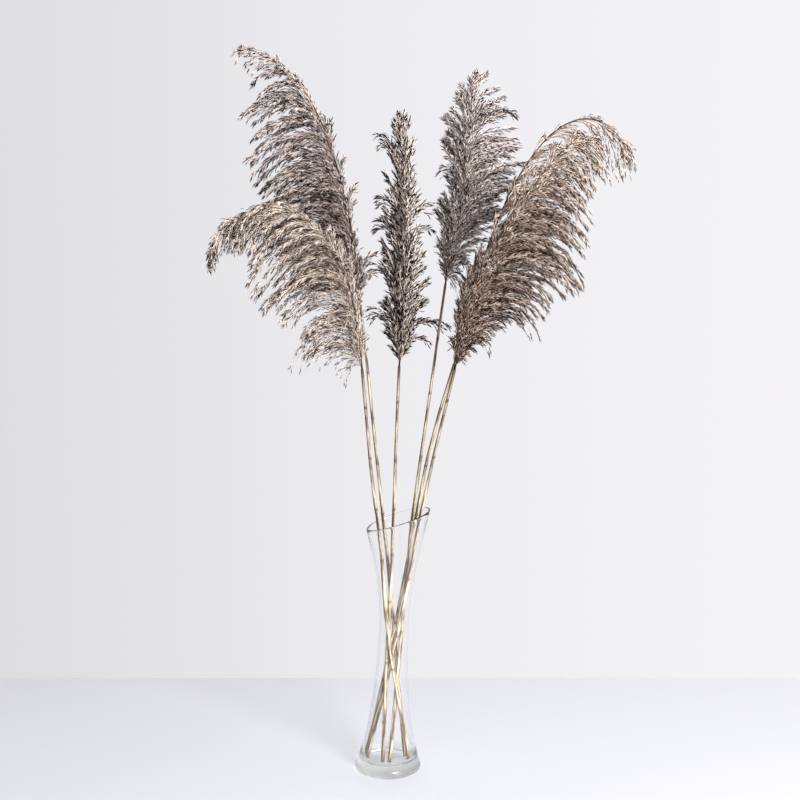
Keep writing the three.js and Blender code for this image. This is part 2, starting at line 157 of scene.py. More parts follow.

# Each stem: the points that it passes, foot first, and the heights of its nodes.
# Each plume: rows from its base to its tip. A row is a place on the axis (x, z), the tips of the
# branches that leave it to the left (x, z) and to the right (x, z), and the half depth there.
#   depth    the y of the axis at the base and at the tip
#   arch     how high the branches rise first, as a share of their length
#   hangs    the side that most branches go to, and hanging how strongly they crowd there
#   climb    how far up the plume a branch has its tip above its root
#   full     how thick the twigs stand at the base, a third of the way up and at the tip
#   open     how far the twigs spread from their branch, in radians
#   bunched  how near the branches of one bunch stand, from 0 to 1
#   bare     the share of a branch next to the axis that has no twigs
#   fine     how far apart the twigs stand and how long seeds and tufts are, against the usual
#   seed     the least and the greatest half width of a seed
#   painted_side_light    painted light and shade: how much paler the branches to the right are than those to the left
#   tone     how pale the base and the tip are, from 0 to 1
#   wisps    where each leaves the axis, from 0 to 1, and its tip (x, y, z)
REEDS = [
    dict(
        name="tall_left", slot="plume_taupe", depth=(33, 44), arch=0.22,
        hangs="left", hanging=2.8, climb=0.07, full=(1.6, 2.0, 0.5), open=0.36,
        bunched=0.1, bare=0.08, fine=0.92, seed=(0.6, 1.0), painted_side_light=0, tone=(0.25, 0.85),
        path=[(27, 0, 17), (11, 13, 205), (-5, 14, 375), (-22, 19, 540), (-34, 28, 657), (-41, 33, 716)],
        nodes=[62, 150, 236, 318, 395, 472, 540, 608],
        rows=[
            (-41, 716, -105, 715, -22, 762, 28),
            (-46, 765, -150, 770, -24, 795, 36),
            (-55, 830, -190, 825, -38, 850, 42),
            (-68, 890, -198, 865, -52, 900, 42),
            (-88, 955, -212, 905, -82, 980, 38),
            (-108, 1000, -214, 978, -110, 1020, 32),
            (-137, 1042, -208, 1020, -140, 1056, 26),
            (-175, 1072, -208, 1055, -180, 1085, 18),
            (-226, 1084, -236, 1076, -236, 1088, 8),
        ],
        wisps=[],
    ),
    dict(
        name="low_left", slot="plume_taupe", depth=(-33, -58), arch=0.26,
        hangs="left", hanging=2.2, climb=0.08, full=(0.35, 1.9, 1.6), open=0.34,
        bunched=0.1, bare=0.05, fine=0.8, seed=(0.42, 0.72), painted_side_light=0, tone=(0.6, 1.0),
        path=[
            (33, -15, 17), (3, -13, 205), (-12, -7, 375), (-20, -24, 434), (-31, -31, 560), (-36, -33, 618),
        ],
        nodes=[75, 162, 250, 328, 408, 487, 562],
        rows=[
            (-36, 618, -65, 606, -33, 649, 14),
            (-39, 650, -120, 636, -31, 691, 24),
            (-47, 708, -131, 671, -38, 745, 36),
            (-58, 750, -185, 703, -52, 785, 42),
            (-81, 803, -199, 728, -76, 825, 42),
            (-112, 834, -205, 769, -110, 849, 36),
            (-155, 851, -213, 790, -160, 862, 26),
            (-199, 842, -230, 787, -211, 851, 18),
            (-237, 815, -247, 771, -245, 822, 10),
            (-253, 764, -257, 750, -257, 754, 5),
        ],
        wisps=[(0.02, -70, -40, 593), (0.1, -142, -46, 626)],
    ),
    dict(
        name="centre", slot="plume_grey", depth=(60, 92), arch=0.1,
        hangs="both", hanging=1, climb=0.13, full=(1.2, 1.4, 1.0), open=0.24,
        bunched=0.4, bare=0.05, fine=1, seed=(0.8, 1.2), painted_side_light=0.8, tone=(0.3, 0.85),
        path=[(-7, -24, 17), (1, -4, 205), (9, 11, 375), (14, 36, 520), (18, 60, 614)],
        nodes=[80, 170, 262, 334, 401, 474, 560],
        rows=[
            (18, 614, 6, 642, 31, 642, 9),
            (21, 650, -4, 684, 50, 680, 18),
            (22, 700, -7, 737, 63, 732, 26),
            (24, 750, -10, 791, 57, 784, 28),
            (24, 800, -4, 839, 50, 832, 27),
            (24, 850, -5, 886, 45, 883, 25),
            (24, 906, 0, 940, 39, 933, 20),
            (24, 955, 4, 983, 36, 983, 13),
            (21, 1001, 17, 1007, 25, 1006, 5),
        ],
        wisps=[
            (0.1, -37, 75, 699), (0.26, -36, 78, 771), (0.42, -26, 80, 839), (0.52, -17, 82, 877),
            (0.74, -19, 90, 961), (0.08, 97, 104, 676), (0.05, 69, 95, 651), (0.1, 81, 100, 685),
            (0.4, 66, 80, 832), (0.5, 71, 85, 862),
        ],
    ),
    dict(
        name="middle_right", slot="plume_grey", depth=(95, 132), arch=0.1,
        hangs="both", hanging=1, climb=0.12, full=(0.6, 2.0, 2.1), open=0.36,
        bunched=0.1, bare=0.05, fine=0.88, seed=(0.55, 0.9), painted_side_light=0.4, tone=(0.15, 0.85),
        path=[(3, -25, 17), (21, 4, 205), (36, 1, 375), (60, 46, 540), (89, 95, 737)],
        nodes=[56, 132, 215, 300, 384, 479, 573, 655],
        rows=[
            (89, 737, 84, 762, 105, 750, 12),
            (96, 780, 76, 812, 136, 789, 24),
            (107, 824, 81, 858, 173, 850, 32),
            (115, 880, 90, 915, 192, 895, 36),
            (119, 930, 81, 962, 213, 936, 36),
            (125, 976, 90, 1003, 198, 982, 32),
            (131, 1023, 108, 1039, 179, 1030, 24),
            (136, 1048, 124, 1060, 163, 1057, 14),
            (137, 1064, 133, 1068, 144, 1070, 5),
        ],
        wisps=[
            (0.44, 70, 108, 915), (0.68, 207, 125, 1000), (0.02, 114, 90, 708), (0.06, 133, 100, 728),
            (0.1, 148, 104, 752), (0.05, 124, 92, 716),
        ],
    ),
    dict(
        name="front_right", slot="plume_tan", depth=(-27, -60), arch=0.3,
        hangs="right", hanging=1.9, climb=0.11, full=(1.0, 1.5, 1.2), open=0.27,
        bunched=0.25, bare=0.05, fine=0.85, seed=(0.55, 0.85), painted_side_light=0, tone=(0.02, 0.85),
        path=[(-32, -9, 17), (14, -1, 205), (45, -13, 375), (70, -14, 490), (99, -27, 617)],
        nodes=[64, 125, 210, 300, 392, 486, 571],
        rows=[
            (99, 617, 94, 646, 112, 637, 10),
            (105, 650, 97, 696, 138, 666, 20),
            (112, 689, 104, 734, 174, 694, 32),
            (127, 733, 118, 774, 228, 697, 38),
            (151, 786, 139, 821, 277, 743, 40),
            (180, 842, 167, 866, 289, 788, 38),
            (213, 888, 200, 909, 292, 828, 34),
            (245, 927, 234, 943, 296, 858, 28),
            (273, 947, 268, 961, 302, 876, 22),
            (295, 948, 298, 959, 307, 892, 14),
            (307, 929, 312, 931, 310, 906, 6),
        ],
        wisps=[(0.4, 296, -55, 825), (0.3, 288, -62, 743), (0.14, 236, -58, 675), (0.03, 156, -44, 650)],
    ),
    dict(
        name="back_right", slot="plume_tan", depth=(42, 52), arch=0.26,
        hangs="right", hanging=7, climb=0.1, full=(0.8, 1.0, 0.5), open=0.26,
        bunched=0.4, bare=0.22, fine=0.85, seed=(0.55, 0.85), painted_side_light=0, tone=(0.1, 0.9),
        path=[(-34, 8, 17), (8, 6, 205), (41, 19, 375), (66, 29, 500), (101, 42, 619)],
        nodes=[48, 140, 228, 317, 392, 466, 552],
        rows=[
            (101, 619, 95, 650, 150, 655, 12),
            (112, 668, 105, 716, 200, 715, 20),
            (127, 725, 124, 765, 240, 748, 24),
            (145, 780, 143, 815, 262, 785, 26),
            (168, 840, 162, 858, 282, 825, 26),
            (190, 888, 186, 900, 292, 852, 26),
            (217, 930, 214, 940, 303, 878, 24),
            (245, 962, 243, 972, 315, 888, 20),
            (275, 980, 276, 993, 328, 895, 18),
            (308, 983, 318, 994, 345, 892, 16),
            (345, 958, 356, 965, 355, 900, 10),
            (364, 915, 370, 905, 368, 900, 5),
        ],
        wisps=[],
    ),
]


# Curves

def centripetal(points, places):
    """Points of a centripetal Catmull-Rom curve at places from 0 to 1."""
    points = np.asarray(points, float)
    ends = np.vstack([2 * points[0] - points[1], points, 2 * points[-1] - points[-2]])
    at = np.clip(np.asarray(places, float), 0, 1) * (len(points) - 1)
    i = np.minimum(at.astype(int), len(points) - 2)
    w = (at - i)[:, None]
    p0, p1, p2, p3 = (ends[i + k] for k in range(4))
    gap = [np.sqrt(np.linalg.norm(b - a, axis=1))[:, None] for a, b in ((p0, p1), (p1, p2), (p2, p3))]
    t1 = ((p1 - p0) / gap[0] - (p2 - p0) / (gap[0] + gap[1]) + (p2 - p1) / gap[1]) * gap[1]
    t2 = ((p2 - p1) / gap[1] - (p3 - p1) / (gap[1] + gap[2]) + (p3 - p2) / gap[2]) * gap[1]
    return p1 + t1 * w + (3 * (p2 - p1) - 2 * t1 - t2) * w ** 2 + (2 * (p1 - p2) + t1 + t2) * w ** 3


def unit(vectors):
    return vectors / np.maximum(np.linalg.norm(vectors, axis=-1, keepdims=True), 1e-9)


def across(along, hint):
    """Two directions across a curve. With the curve's own they stand like x, y and z."""
    side = unit(np.cross(np.array(hint), along))
    return side, np.cross(along, side)


def plume_axis(reed, t):
    """For places t along a plume: the row of its table, the point of the axis and its direction."""
    rows = np.array(reed["rows"], float)
    spots = np.stack([rows[:, 0], np.zeros(len(rows)), rows[:, 1]], 1)
    run = np.concatenate([[0], np.linalg.norm(np.diff(spots, axis=0), axis=1).cumsum()])
    share = run / run[-1]
    near, far = reed["depth"]
    spots[:, 1] = near + (far - near) * np.sqrt(share)
    i = np.clip(np.searchsorted(share, t, side="right") - 1, 0, len(rows) - 2)
    part = (t - share[i]) / (share[i + 1] - share[i])
    row = rows[i] + (rows[i + 1] - rows[i]) * part[:, None]
    u = (i + part) / (len(rows) - 1)
    root = centripetal(spots, u)
    before, after = np.maximum(u - 1e-3, 0), np.minimum(u + 1e-3, 1)
    return row, root, unit(centripetal(spots, after) - centripetal(spots, before))


def bezier(corners, s):
    """Points and directions of many cubic curves at shared places s: two (curve, place, 3) arrays."""
    p0, p1, p2, p3 = (c[:, None, :] for c in corners)
    s = s[None, :, None]
    r = 1 - s
    point = p0 * r ** 3 + 3 * p1 * r ** 2 * s + 3 * p2 * r * s ** 2 + p3 * s ** 3
    slope = (p1 - p0) * r ** 2 + 2 * (p2 - p1) * r * s + (p3 - p2) * s ** 2
    return point, unit(slope)


def straight(start, end):
    """The corners of straight curves."""
    return [start, start + (end - start) / 3, start + (end - start) * 2 / 3, end]


def turned(direction, angle, azimuth):
    """Directions tilted by angle away from themselves, towards azimuth."""
    side = unit(np.cross(direction, np.array(TURN_HINT)))
    other = np.cross(direction, side)
    lean = side * np.cos(azimuth)[..., None] + other * np.sin(azimuth)[..., None]
    return direction * np.cos(angle)[..., None] + lean * np.sin(angle)[..., None]


# Small shapes, bent along curves

def shape_of(bm):
    """The corners and the faces of a small shape."""
    bm.verts.ensure_lookup_table()
    corners = np.array([v.co[:] for v in bm.verts])
    faces = np.array([[v.index for v in f.verts] for f in bm.faces])
    bm.free()
    return corners, faces


def cut_rings(bm, rings):
    """Level cuts through a shape one high, so that it can bend."""
    for k in range(1, rings):
        bmesh.ops.bisect_plane(bm, geom=bm.verts[:] + bm.edges[:] + bm.faces[:],
                               plane_co=(0, 0, k / rings - 0.5), plane_no=(0, 0, 1))


def bar_shape(sides, rings):
    """A thin closed bar standing on z, one high and one in radius, from a cone with extra rings."""
    bm = bmesh.new()
    bmesh.ops.create_cone(bm, cap_ends=True, cap_tris=False, segments=sides, radius1=1, radius2=0, depth=1)
    cut_rings(bm, rings)
    bmesh.ops.remove_doubles(bm, verts=bm.verts, dist=1e-5)
    bmesh.ops.triangulate(bm, faces=bm.faces)
    corners, faces = shape_of(bm)
    radius = np.hypot(corners[:, 0], corners[:, 1])
    corners[:, :2] /= np.where(radius > 1e-6, radius, 1)[:, None]
    corners[:, 2] += 0.5
    return corners, faces


def grain_shape(widest):
    """A closed six-sided grain standing on z, one high and one in radius at its widest."""
    bm = bmesh.new()
    bmesh.ops.create_uvsphere(bm, u_segments=3, v_segments=2, radius=1)
    corners, faces = shape_of(bm)
    corners[:, 2] = np.select([corners[:, 2] < -0.5, corners[:, 2] > 0.5], [0.0, 1.0], widest)
    return corners, faces


def band_height(band, share):
    """A height in a band of the palette, a little off its edges."""
    low, high = band
    return low + (high - low) * (BAND_EDGE + (1 - 2 * BAND_EDGE) * share)


class Heap:
    """Many bent copies of small shapes, gathered for one mesh with a place in the palette each."""

    def __init__(self):
        self.points, self.faces, self.uvs, self.count = [], [], [], 0

    def add(self, shape, corners, radius, outline, band, tone):
        """Copies of a shape along curves: outline is its thickness by places from 0 to 1."""
        template, faces = shape
        n, size = len(radius), len(template)
        height = template[:, 2]
        levels, level = np.unique(np.round(height, 4), return_inverse=True)
        point, along = bezier(corners, levels)
        side, other = across(along, ACROSS_HINT)
        thick = radius[:, None] * np.interp(levels, *outline)[None, :]
        spread = side[:, level] * template[None, :, 0, None] + other[:, level] * template[None, :, 1, None]
        placed = point[:, level] + spread * thick[:, level, None]
        self.points.append(placed.reshape(-1, 3))
        first = self.count + np.arange(n) * size
        self.faces.append((faces[None] + first[:, None, None]).reshape(-1, 3))
        self.count += n * size
        turn = (np.arctan2(template[faces][..., 1], template[faces][..., 0]) + math.pi) / (2 * math.pi)
        u = tone[:, None, None] + ROUND_TONE * turn[None]
        v = np.broadcast_to(band_height(band, height[faces]), u.shape)
        self.uvs.append(np.stack([u, v], -1).reshape(-1, 2))

    def add_axis(self, axis):
        """One bar whose rings are set on the points of a plume's axis."""
        template, faces = AXIS
        level = np.round(template[:, 2] * AXIS_RINGS).astype(int)
        side, other = across(unit(np.gradient(axis, axis=0)), (0, 1.0, 0))
        thick = np.linspace(AXIS_RADIUS, AXIS_TIP_RADIUS, AXIS_RINGS + 1)
        spread = side[level] * template[:, :1] + other[level] * template[:, 1:2]
        self.points.append(axis[level] + spread * thick[level, None])
        self.faces.append(faces + self.count)
        self.count += len(template)
        u = AXIS_TONE + AXIS_SIDE_TONE * template[faces][..., 0]
        v = band_height(WOOD_BAND, template[faces][..., 2])
        self.uvs.append(np.stack([u, v], -1).reshape(-1, 2))

    def piece(self, name):
        """One object of all that was added."""
        points = np.concatenate(self.points) * MM
        faces = np.concatenate(self.faces)
        mesh = bpy.data.meshes.new(name)
        mesh.vertices.add(len(points))
        mesh.vertices.foreach_set("co", points.astype(np.float32).ravel())
        mesh.loops.add(faces.size)
        mesh.loops.foreach_set("vertex_index", faces.astype(np.int32).ravel())
        mesh.polygons.add(len(faces))
        mesh.polygons.foreach_set("loop_start", np.arange(0, faces.size, 3, dtype=np.int32))
        mesh.uv_layers.new(name="OFBake").data.foreach_set(
            "uv", np.concatenate(self.uvs).astype(np.float32).ravel())
        mesh.update(calc_edges=True)
        mesh.validate()
        return linked(mesh)


def linked(mesh):
    """An object at the origin for a finished mesh."""
    piece = bpy.data.objects.new(mesh.name, mesh)
    bpy.context.scene.collection.objects.link(piece)
    return piece


SEED_WIDEST = 0.4
THREAD = bar_shape(3, 1)          # a twig or a silky tuft
BRANCH = bar_shape(3, 8)
AXIS = bar_shape(6, AXIS_RINGS)
SEED = grain_shape(SEED_WIDEST)

# What a twig carries: places is where along the twig, back how far a piece starts before its
# place, long its length, spread its mean angle to the twig and how much that varies, outline its
# thickness by places, follows how much of the twig's tone it takes, and paler what is added.
SEEDS = dict(
    shape=SEED, places=(0.6, 1.0), back=1.5, long=(6, 10), spread=(0.2, 0.12),
    outline=([0, SEED_WIDEST, 1], [0, 1, 0]), band=SEED_BAND, follows=0.15, paler=(0, 0.3),
)
TUFTS = dict(
    shape=THREAD, places=(0.0, 0.2, 0.4, 0.6), back=0, long=(8, 13), spread=(0.24, 0.14),
    outline=([0, 1], [1, 0]), band=TUFT_BAND, follows=0.8, paler=(-0.1, 0.35),
)
TUFT_RADIUS = np.array([0.4, 0.8])


# Plumes

def branch_places(reed, rng):
    """Where the branches of a plume stand along its axis, from 0 to 1, and the bunch of each."""
    i = np.arange(BRANCHES)
    t = 1 - (1 - (i + rng.uniform(*PLACE_JITTER, BRANCHES)) / BRANCHES) ** CROWDED_LOW
    bounds = np.arange(1, BUNCHES) + rng.uniform(-BUNCH_JITTER, BUNCH_JITTER, BUNCHES - 1)
    bunch = np.searchsorted(bounds * BRANCHES / BUNCHES, i)
    middle = np.bincount(bunch, t, BUNCHES) / np.bincount(bunch, None, BUNCHES)
    return t + (middle[bunch] - t) * reed["bunched"], bunch


def branch_tips(reed, t, turn):
    """Where branches at places t along the axis end if they reach the outline."""
    row, centre, _ = plume_axis(reed, t)
    swing = np.cos(turn)
    side = 0.5 + 0.5 * np.sign(swing) * np.abs(swing) ** SIDE_CROWDING
    if reed["hangs"] == "left":
        side = side ** reed["hanging"]
    if reed["hangs"] == "right":
        side = 1 - (1 - side) ** reed["hanging"]
    side = side[:, None]
    tip = np.stack([row[:, 2], centre[:, 1], row[:, 3]], 1) * (1 - side)
    tip += np.stack([row[:, 4], centre[:, 1], row[:, 5]], 1) * side
    tip[:, 1] += row[:, 6] * np.sin(turn)
    return tip


def branch_curves(reed, rng):
    """The corners of every branch's curve in a plume, its place, its length and how clad it is."""
    t, bunch = branch_places(reed, rng)
    turn = np.arange(BRANCHES) * GOLDEN_ANGLE + rng.normal(0, TURN_JITTER, BRANCHES)
    tip = branch_tips(reed, t, turn)
    _, root, along = plume_axis(reed, np.maximum(t - reed["climb"], LOWEST_ROOT * t))
    reach = rng.uniform(*BUNCH_REACH, BUNCHES)[bunch] * rng.uniform(*BRANCH_REACH, BRANCHES)
    reach[SHORT_ONES] = rng.uniform(*SHORT_REACH, len(reach[SHORT_ONES]))
    # wisps, and the end of the axis
    end = plume_axis(reed, np.ones(1))[1][0]
    wisps = np.repeat(np.array(reed["wisps"] + [(AXIS_END, *end)]), STRANDS, axis=0)
    start = wisps[:, 0] + rng.uniform(0, WISP_ROOTS, len(wisps))
    _, wisp_root, wisp_along = plume_axis(reed, start)
    root = np.vstack([root, wisp_root])
    along = np.vstack([along, wisp_along])
    tip = np.vstack([tip, wisps[:, 1:] + rng.normal(0, WISP_TIPS, wisp_root.shape)])
    t = np.concatenate([t, start])
    loose = np.repeat([1.0] * len(reed["wisps"]) + [0.0], STRANDS)
    wisp_reach = rng.uniform(*WISP_REACH, len(wisps)) + AXIS_END_REACH * (1 - loose)
    reach = np.concatenate([reach, wisp_reach])
    loose = np.concatenate([np.zeros(BRANCHES), loose])
    # each ends short of the outline by as much as its twigs stand out
    span = np.linalg.norm(tip - root, axis=1)
    tip = root + (tip - root) * np.maximum(reach - FLUFF / span, LEAST_REACH)[:, None]
    length = np.linalg.norm(tip - root, axis=1)
    tip += rng.normal(0, BRANCH_WOBBLE, tip.shape) * length[:, None]
    bend = root + (tip - root) * BEND_PLACE
    bend[:, 2] += (reed["arch"] + WISP_ARCH * loose) * length
    leave = root + along * (LEAVE_ALONG * length)[:, None] + (tip - root) * LEAVE_OUT
    return [root, leave, bend, tip], t, length, 1 - WISP_BARE * loose


def branch_tones(reed, corners, place, length, clad, rng):
    """How pale each branch is: more towards the tip of the plume, less where it is a wisp, and, as painted
    light and shade, more where it reaches to the right.
    """
    tone = np.interp(place, (0, 1), reed["tone"]) + rng.uniform(*TONE_JITTER, len(place))
    # painted light and shade: branches reaching to the right, towards the light, are paler, those to the
    # left darker
    tone += reed["painted_side_light"] * (corners[3] - corners[0])[:, 0] / length - WISP_DARKER * (1 - clad)
    return np.clip(tone, *BRANCH_TONES)


def grown(length, grows):
    """The share, up to 1, that a branch of this length has of a full one."""
    least, long = grows
    return min(1, least + length / long)


def grow_twigs(reed, corners, place, length, clad, tone, rng):
    """Of all twigs: the corners of their curves, their lengths, their tones and how clad they are."""
    root, along, size, shade, dressed = [], [], [], [], []
    for k in range(len(length)):
        full = clad[k] * np.interp(place[k], FULL_PLACES, reed["full"])
        room = length[k] / (TWIG_SPACING * reed["fine"])
        count = int(1 + full * room * grown(length[k], TWIG_COUNT_GROWS))
        s = np.sort(rng.uniform(reed["bare"], 1.0, count))
        s[-1] = 1.0
        point, way = bezier([c[k:k + 1] for c in corners], s)
        root.append(point[0])
        angle = np.abs(rng.normal(reed["open"], OPEN_JITTER, count)) * (OPEN_AT_ROOT - OPEN_LESS * s)
        along.append(turned(way[0], angle, rng.uniform(0, 2 * math.pi, count)))
        long = (TWIG_SHORT + TWIG_LONGER * (1 - s) ** TWIG_TAPER) * grown(length[k], TWIG_SIZE_GROWS)
        size.append(long * rng.uniform(*TWIG_SIZES, count))
        jitter = rng.uniform(-TWIG_TONE_JITTER, TWIG_TONE_JITTER, count)
        # painted shade: darker near the axis, deep in the plume, and paler at a branch's tip
        shade.append(np.clip(tone[k] + TWIG_INNER_PAINTED_SHADE * (s - 0.5) + jitter, *TWIG_TONES))
        dressed.append(np.full(count, clad[k]))
    root, along, size, shade, dressed = (
        np.concatenate(part) for part in (root, along, size, shade, dressed))
    droop = np.array([0, 0, -1.0]) * (size * TWIG_DROOP)[:, None]
    near, far = TWIG_CORNERS
    curves = [root, root + along * (size * near)[:, None],
              root + along * (size * far)[:, None] + droop * TWIG_DROOP_EARLY,
              root + along * size[:, None] + droop]
    return curves, size, shade, dressed


def dress(heap, twigs, shade, load, keep, radius, fine, rng):
    """Seeds or silky tufts on the twigs: keep is the share of their places that carry one."""
    point, way = bezier(twigs, np.array(load["places"]))
    chosen = rng.uniform(0, 1, point.shape[:2]) < np.broadcast_to(keep, len(shade))[:, None]
    point, way = point[chosen], way[chosen]
    twig_tone = np.broadcast_to(shade[:, None], chosen.shape)[chosen]
    n = len(point)
    aim = turned(way, np.abs(rng.normal(*load["spread"], n)), rng.uniform(0, 2 * math.pi, n))
    long = rng.uniform(*load["long"], n) * fine
    corners = straight(point - aim * load["back"], point + aim * long[:, None])
    thick = rng.uniform(*radius, n)
    tone = np.clip(twig_tone * load["follows"] + rng.uniform(*load["paler"], n), *FRINGE_TONES)
    heap.add(load["shape"], corners, thick, load["outline"], load["band"], tone)


def make_plume(reed, start):
    """The hair of a plume: its axis, branches, twigs, dark seeds and pale silky tufts."""
    rng = np.random.default_rng(start)
    heap = Heap()
    heap.add_axis(plume_axis(reed, np.linspace(0, 1, AXIS_RINGS + 1))[1])
    corners, place, length, clad = branch_curves(reed, rng)
    tone = branch_tones(reed, corners, place, length, clad, rng)
    thick = BRANCH_RADIUS + length * BRANCH_GROWS
    heap.add(BRANCH, corners, thick, ([0, 1], [1, BRANCH_TIP]), WOOD_BAND, tone)
    twigs, size, shade, dressed = grow_twigs(reed, corners, place, length, clad, tone, rng)
    thick = TWIG_RADIUS + size * TWIG_GROWS
    heap.add(THREAD, twigs, thick, ([0, 1], [1, TWIG_TIP]), WOOD_BAND, shade)
    fine = reed["fine"]
    dress(heap, twigs, shade, SEEDS, SEEDS_KEPT, reed["seed"], fine, rng)
    dress(heap, twigs, shade, TUFTS, TUFTS_KEPT * dressed, TUFT_RADIUS * fine, fine, rng)
    return heap.piece("plume_" + reed["name"] + "_hair")


# Stems and vase

def stem_rings(reed, samples):
    """The heights of a stem's rings, how thick each is and how dark."""
    top = samples[-1, 2]
    rings = [(samples[0, 2], *CUT_FOOT)]
    for node in reed["nodes"]:
        rings += [(node + step, thick, dark) for step, thick, dark in NODE_RINGS]
    rings += [(top - LAST_RING, 1, 0), (top, 1, 0)]
    heights, swell, shade = (np.array(column, float) for column in zip(*rings))
    # the top of a stem is darker where the plume begins
    return heights, swell, shade + np.interp(heights - top, *DARK_TOP)


def make_stem(reed):
    """A noded stem: a cylinder with extra rings, bent along its path."""
    samples = centripetal(reed["path"], np.linspace(0, 1, STEM_SAMPLES))
    heights, swell, shade = stem_rings(reed, samples)
    last = len(heights) - 1
    taper = (STEM_TOP_RADIUS - STEM_FOOT_RADIUS) * (heights - heights[0]) / (LONGEST_STEM - heights[0])
    radius = (STEM_FOOT_RADIUS + taper) * swell
    spots = np.stack([np.interp(heights, samples[:, 2], samples[:, k]) for k in range(3)], 1)
    along = unit(np.gradient(spots, axis=0))
    left = unit(np.cross(along, np.array([0, 1.0, 0])))
    back = np.cross(left, along)
    bm = bmesh.new()
    bmesh.ops.create_cone(bm, cap_ends=True, segments=STEM_SIDES, radius1=1, radius2=1, depth=1)
    cut_rings(bm, last)
    stem_darkness_and_painted_shade = bm.verts.layers.float.new("stem_darkness_and_painted_shade")
    uv = bm.loops.layers.uv.new("UVMap")
    for face in bm.faces:
        turns = [math.atan2(loop.vert.co.y, loop.vert.co.x) / (2 * math.pi) + 0.5 for loop in face.loops]
        wraps = max(turns) - min(turns) > 0.5
        for loop, turn in zip(face.loops, turns):
            k = round((loop.vert.co.z + 0.5) * last)
            loop[uv].uv = (turn + 1 if wraps and turn < 0.5 else turn, heights[k] * MM)
        face.smooth = len(face.verts) == 4
    for vert in bm.verts:
        k = round((vert.co.z + 0.5) * last)
        to_left, to_back = vert.co.x, vert.co.y
        # painted shade: the stem's left side, turned away from the light, is darkened more the higher it is
        painted_left_shade = np.interp(heights[k], *LEFT_SIDE_PAINTED_SHADE) * max(to_left, 0) ** 2
        vert[stem_darkness_and_painted_shade] = min(shade[k] + painted_left_shade, DARKEST)
        vert.co = Vector((spots[k] + (left[k] * to_left + back[k] * to_back) * radius[k]) * MM)
    # laid out to the left and the back, the stem is mirrored, so its faces are turned outwards
    bm.normal_update()
    bmesh.ops.recalc_face_normals(bm, faces=bm.faces)
    mesh = bpy.data.meshes.new("stem_" + reed["name"] + "_straw")
    bm.to_mesh(mesh)
    bm.free()
    return linked(mesh)


def smoothed(points):
    """A finer outline through the same points."""
    flat = [(r, 0, z) for r, z in points]
    fine = centripetal(flat, np.linspace(0, 1, OUTLINE_STEPS * (len(points) - 1) + 1))
    return [(max(p[0], 0), p[2]) for p in fine]


def make_vase():
    """The glass: its outline spun about the axis, leaned, and the rim cut on a slant."""
    low, high = WELL_WALL
    inside = [(r - GLASS, z) for r, z in VASE_OUTSIDE if low < z < high][::-1]
    outside = FOOT_DISC + smoothed(VASE_OUTSIDE)
    well = smoothed([WELL_TOP] + inside + [WELL_FOOT]) + WELL_BOTTOM
    bm = bmesh.new()
    verts = [bm.verts.new((r, 0, z)) for r, z in outside + RIM_BEAD + well]
    edges = [bm.edges.new(pair) for pair in zip(verts, verts[1:])]
    bmesh.ops.spin(bm, geom=verts + edges, cent=(0, 0, 0), axis=(0, 0, 1), angle=2 * math.pi,
                   steps=VASE_STEPS, use_merge=True)
    bmesh.ops.remove_doubles(bm, verts=bm.verts, dist=1e-3)
    for vert in bm.verts:
        x, y, z = vert.co
        fade = min(max((z - RIM_SLANT_FROM) / (RIM_HEIGHT - RIM_SLANT_FROM), 0), 1)
        z += RIM_RISE * x * fade * fade * (3 - 2 * fade)
        vert.co = Vector((x + VASE_LEAN * z, y, z)) * MM
    for face in bm.faces:
        face.smooth = True
    bmesh.ops.recalc_face_normals(bm, faces=bm.faces)
    mesh = bpy.data.meshes.new("vase_blown_glass")
    bm.to_mesh(mesh)
    bm.free()
    return linked(mesh)


# Materials. The helpers add nodes to a tree and give back the socket that they put out.

def new_material(name):
    material = bpy.data.materials.new(name)
    material.use_nodes = True
    tree = material.node_tree
    return material, tree, tree.nodes["Principled BSDF"]


def place_along(tree, axis, kind="Object"):
    """Where a point is along an axis of the object, or for Generated of the world around it."""
    coords = tree.nodes.new("ShaderNodeTexCoord")
    split = tree.nodes.new("ShaderNodeSeparateXYZ")
    tree.links.new(coords.outputs[kind], split.inputs[0])
    return split.outputs[axis]


def spread_over(tree, value, starts, ends=(0, 1)):
    """A value brought from the range of starts to that of ends, and kept within it."""
    node = tree.nodes.new("ShaderNodeMapRange")
    for socket, number in zip(("From Min", "From Max", "To Min", "To Max"), (*starts, *ends)):
        node.inputs[socket].default_value = number
    tree.links.new(value, node.inputs["Value"])
    return node.outputs["Result"]


def ramp(tree, factor, stops):
    """The colour that a ramp has at a factor."""
    node = tree.nodes.new("ShaderNodeValToRGB")
    elements = node.color_ramp.elements
    while len(elements) < len(stops):
        elements.new(0.5)
    for element, (at, colour) in zip(elements, stops):
        element.position = at
        element.color = (*colour, 1)
    tree.links.new(factor, node.inputs["Fac"])
    return node.outputs["Color"]


def mixed(tree, factor, a, b, blend="MIX"):
    """A colour mixed from socket a and from b, which is a socket or a plain colour."""
    node = tree.nodes.new("ShaderNodeMix")
    node.data_type = "RGBA"
    node.blend_type = blend
    tree.links.new(factor, node.inputs["Factor"])
    tree.links.new(a, node.inputs["A"])
    if isinstance(b, tuple):
        node.inputs["B"].default_value = (*b, 1)
    else:
        tree.links.new(b, node.inputs["B"])
    return node.outputs["Result"]


def added(tree, a, b):
    """The sum of two sockets, from 0 to 1."""
    node = tree.nodes.new("ShaderNodeMath")
    node.operation = "ADD"
    node.use_clamp = True
    tree.links.new(a, node.inputs[0])
    tree.links.new(b, node.inputs[1])
    return node.outputs[0]


def with_number(tree, operation, value, number):
    """What an operation makes of a value and a plain number."""
    node = tree.nodes.new("ShaderNodeMath")
    node.operation = operation
    node.inputs[1].default_value = number
    tree.links.new(value, node.inputs[0])
    return node.outputs[0]


